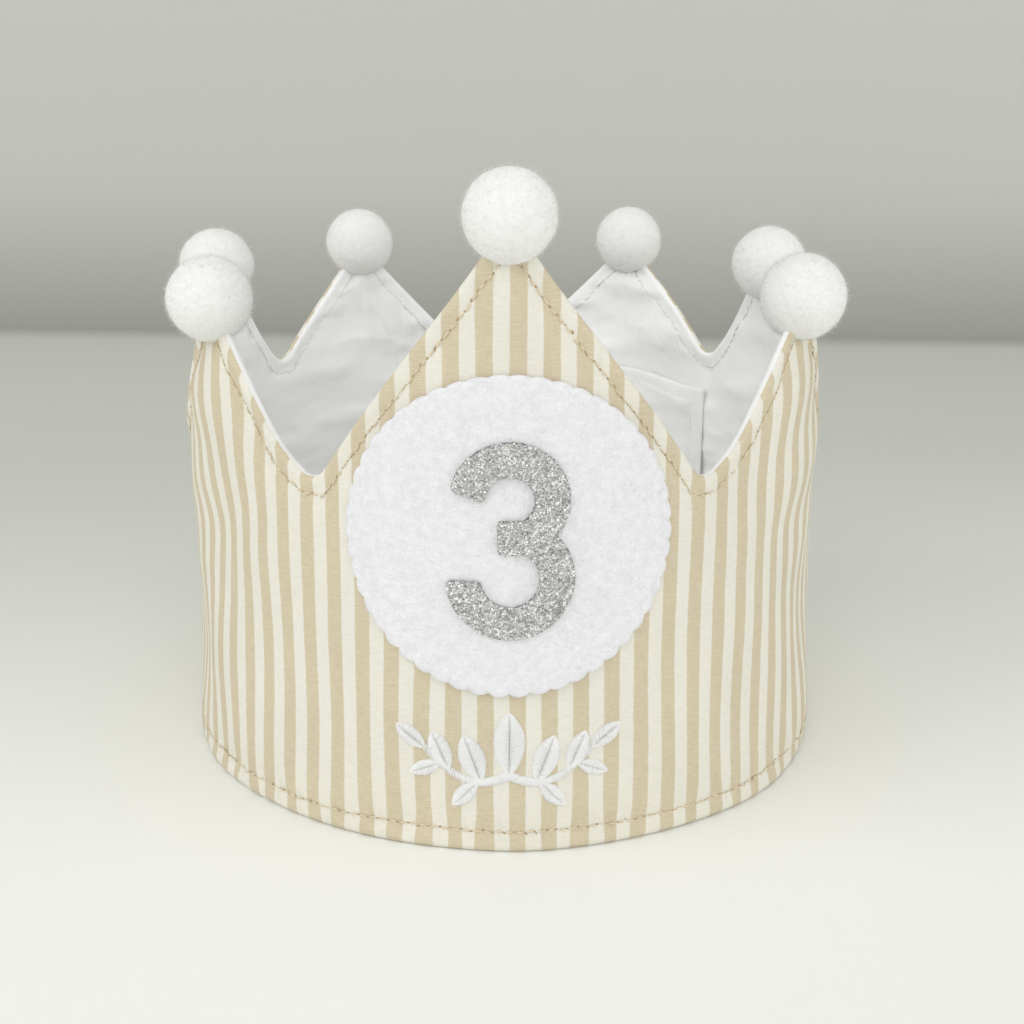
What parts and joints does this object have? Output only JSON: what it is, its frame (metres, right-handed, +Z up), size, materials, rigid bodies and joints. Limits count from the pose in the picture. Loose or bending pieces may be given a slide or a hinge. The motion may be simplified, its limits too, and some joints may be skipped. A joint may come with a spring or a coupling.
{
  "type": "birthday crown",
  "caption": "Round padded cloth birthday crown with pompom-tipped points, a scalloped felt disc with a glitter numeral at the front and a flap that closes the ring behind.",
  "frame": {"origin": "on the ring's axis, in the plane of the lower edge", "axes": "+Z up along the ring's axis, the front point and its disc towards -Y, +X to the viewer's right"},
  "size_m": [0.1782, 0.1822, 0.1625],
  "materials": {
    "striped_cotton": "plain-weave cotton with upright beige and cream stripes",
    "padding": "soft needled felt",
    "lining_cotton": "white plain-weave cotton",
    "loop_tape": "looped pile tape",
    "hook_tape": "woven tape with stiff hooks",
    "felt": "white wool felt",
    "glitter_sheet": "silver glitter flakes on a foam sheet",
    "pompom_yarn": "fluffy cut yarn"
  },
  "bodies": {
    "root": {"outer_cover": "striped_cotton", "interlining": "padding", "lining": "lining_cotton", "closure_flap": "lining_cotton", "loop_tape": "loop_tape", "hook_tape": "hook_tape", "felt_disc": "felt", "numeral": "glitter_sheet", "pompom_front": "pompom_yarn", "pompom_front_right": "pompom_yarn", "pompom_side_right": "pompom_yarn", "pompom_back_right": "pompom_yarn", "pompom_back_left": "pompom_yarn", "pompom_side_left": "pompom_yarn", "pompom_front_left": "pompom_yarn"}
  },
  "joints": []
}
